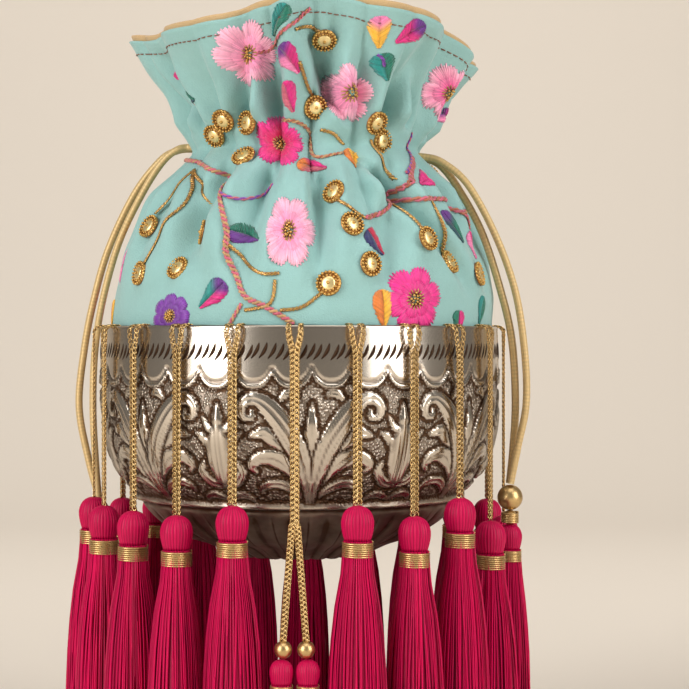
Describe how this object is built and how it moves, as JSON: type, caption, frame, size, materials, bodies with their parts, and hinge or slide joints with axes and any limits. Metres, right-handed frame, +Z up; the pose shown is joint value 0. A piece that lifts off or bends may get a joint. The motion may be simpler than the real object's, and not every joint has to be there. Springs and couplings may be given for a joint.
{
  "type": "potli bag",
  "caption": "Drawstring potli bag: a chased metal bowl with a gathered cloth top, two draw cords and a ring of chain tassels round its rim.",
  "frame": {"origin": "centre of the bowl's flat foot", "axes": "+Z up through the neck of the bag, front of the bag facing -Y, +X to the right seen from the front"},
  "size_m": [0.154, 0.1514, 0.2537],
  "materials": {
    "oxidised_silver": "polished repousse sheet with dark patina in the recesses",
    "aqua_cloth": "matt aqua cloth with coloured silk and gold thread embroidery",
    "beige_cloth": "plain beige lining cloth",
    "gold_cord": "satin gold braided cord",
    "gold_bead": "satin gold plated bead",
    "gold_thread": "wound gold wire thread",
    "gold_chain": "gold plated curb chain",
    "magenta_silk": "glossy magenta silk thread"
  },
  "bodies": {
    "bag": {"bowl": "oxidised_silver", "outer_fabric": "aqua_cloth", "lining": "beige_cloth", "drawcord_left": "gold_cord", "pull_bead_left": "gold_bead", "pull_collar_left": "gold_thread", "pull_tassel_left": "magenta_silk", "drawcord_right": "gold_cord", "pull_bead_right": "gold_bead", "pull_collar_right": "gold_thread", "pull_tassel_right": "magenta_silk"},
    "centre_drop": {"centre_chain": "gold_chain", "centre_strand_left": "gold_chain", "centre_bead_left": "gold_bead", "mini_tassel_left": "magenta_silk", "centre_strand_right": "gold_chain", "centre_bead_right": "gold_bead", "mini_tassel_right": "magenta_silk"},
    "drop_01": {"chain_01": "gold_chain", "tassel_01": "magenta_silk"},
    "drop_02": {"chain_02": "gold_chain", "tassel_02": "magenta_silk"},
    "drop_03": {"chain_03": "gold_chain", "tassel_03": "magenta_silk"},
    "drop_04": {"chain_04": "gold_chain", "tassel_04": "magenta_silk"},
    "drop_05": {"chain_05": "gold_chain", "tassel_05": "magenta_silk"},
    "drop_06": {"chain_06": "gold_chain", "tassel_06": "magenta_silk"},
    "drop_07": {"chain_07": "gold_chain", "tassel_07": "magenta_silk"},
    "drop_08": {"chain_08": "gold_chain", "tassel_08": "magenta_silk"},
    "drop_09": {"chain_09": "gold_chain", "tassel_09": "magenta_silk"},
    "drop_10": {"chain_10": "gold_chain", "tassel_10": "magenta_silk"},
    "drop_11": {"chain_11": "gold_chain", "tassel_11": "magenta_silk"},
    "drop_12": {"chain_12": "gold_chain", "tassel_12": "magenta_silk"},
    "drop_13": {"chain_13": "gold_chain", "tassel_13": "magenta_silk"},
    "drop_14": {"chain_14": "gold_chain", "tassel_14": "magenta_silk"},
    "drop_15": {"chain_15": "gold_chain", "tassel_15": "magenta_silk"},
    "drop_16": {"chain_16": "gold_chain", "tassel_16": "magenta_silk"},
    "drop_17": {"chain_17": "gold_chain", "tassel_17": "magenta_silk"},
    "drop_18": {"chain_18": "gold_chain", "tassel_18": "magenta_silk"},
    "drop_19": {"chain_19": "gold_chain", "tassel_19": "magenta_silk"}
  },
  "joints": [
    {"name": "centre_swing", "type": "hinge", "parent": "bag", "child": "centre_drop", "pos_m": [0, -0.068, 0.0736], "axis": [-1, 0, 0], "range_deg": [0, 40]},
    {"name": "swing_01", "type": "hinge", "parent": "bag", "child": "drop_01", "pos_m": [0.01874, -0.06537, 0.0736], "axis": [-0.9613, -0.2756, 0], "range_deg": [0, 40]},
    {"name": "swing_02", "type": "hinge", "parent": "bag", "child": "drop_02", "pos_m": [0.03603, -0.05767, 0.0736], "axis": [-0.848, -0.5299, 0], "range_deg": [0, 40]},
    {"name": "swing_03", "type": "hinge", "parent": "bag", "child": "drop_03", "pos_m": [0.05053, -0.0455, 0.0736], "axis": [-0.6691, -0.7431, 0], "range_deg": [0, 40]},
    {"name": "swing_04", "type": "hinge", "parent": "bag", "child": "drop_04", "pos_m": [0.06112, -0.02981, 0.0736], "axis": [-0.4384, -0.8988, 0], "range_deg": [0, 40]},
    {"name": "swing_05", "type": "hinge", "parent": "bag", "child": "drop_05", "pos_m": [0.06796, 0.00237, 0.0736], "axis": [0.0349, -0.9994, 0], "range_deg": [0, 40]},
    {"name": "swing_06", "type": "hinge", "parent": "bag", "child": "drop_06", "pos_m": [0.06406, 0.02281, 0.0736], "axis": [0.3355, -0.9421, 0], "range_deg": [0, 40]},
    {"name": "swing_07", "type": "hinge", "parent": "bag", "child": "drop_07", "pos_m": [0.05416, 0.04111, 0.0736], "axis": [0.6046, -0.7965, 0], "range_deg": [0, 40]},
    {"name": "swing_08", "type": "hinge", "parent": "bag", "child": "drop_08", "pos_m": [0.0392, 0.05557, 0.0736], "axis": [0.8171, -0.5764, 0], "range_deg": [0, 40]},
    {"name": "swing_09", "type": "hinge", "parent": "bag", "child": "drop_09", "pos_m": [0.02056, 0.06482, 0.0736], "axis": [0.9532, -0.3024, 0], "range_deg": [0, 40]},
    {"name": "swing_10", "type": "hinge", "parent": "bag", "child": "drop_10", "pos_m": [0, 0.068, 0.0736], "axis": [1, 0, 0], "range_deg": [0, 40]},
    {"name": "swing_11", "type": "hinge", "parent": "bag", "child": "drop_11", "pos_m": [-0.01874, 0.06537, 0.0736], "axis": [0.9613, 0.2756, 0], "range_deg": [0, 40]},
    {"name": "swing_12", "type": "hinge", "parent": "bag", "child": "drop_12", "pos_m": [-0.03704, 0.05703, 0.0736], "axis": [0.8387, 0.5446, 0], "range_deg": [0, 40]},
    {"name": "swing_13", "type": "hinge", "parent": "bag", "child": "drop_13", "pos_m": [-0.05209, 0.04371, 0.0736], "axis": [0.6428, 0.766, 0], "range_deg": [0, 40]},
    {"name": "swing_14", "type": "hinge", "parent": "bag", "child": "drop_14", "pos_m": [-0.06212, 0.02766, 0.0736], "axis": [0.4067, 0.9135, 0], "range_deg": [0, 40]},
    {"name": "swing_15", "type": "hinge", "parent": "bag", "child": "drop_15", "pos_m": [-0.06763, -0.00711, 0.0736], "axis": [-0.1045, 0.9945, 0], "range_deg": [0, 40]},
    {"name": "swing_16", "type": "hinge", "parent": "bag", "child": "drop_16", "pos_m": [-0.06163, -0.02874, 0.0736], "axis": [-0.4226, 0.9063, 0], "range_deg": [0, 40]},
    {"name": "swing_17", "type": "hinge", "parent": "bag", "child": "drop_17", "pos_m": [-0.05053, -0.0455, 0.0736], "axis": [-0.6691, 0.7431, 0], "range_deg": [0, 40]},
    {"name": "swing_18", "type": "hinge", "parent": "bag", "child": "drop_18", "pos_m": [-0.03603, -0.05767, 0.0736], "axis": [-0.848, 0.5299, 0], "range_deg": [0, 40]},
    {"name": "swing_19", "type": "hinge", "parent": "bag", "child": "drop_19", "pos_m": [-0.01874, -0.06537, 0.0736], "axis": [-0.9613, 0.2756, 0], "range_deg": [0, 40]}
  ]
}
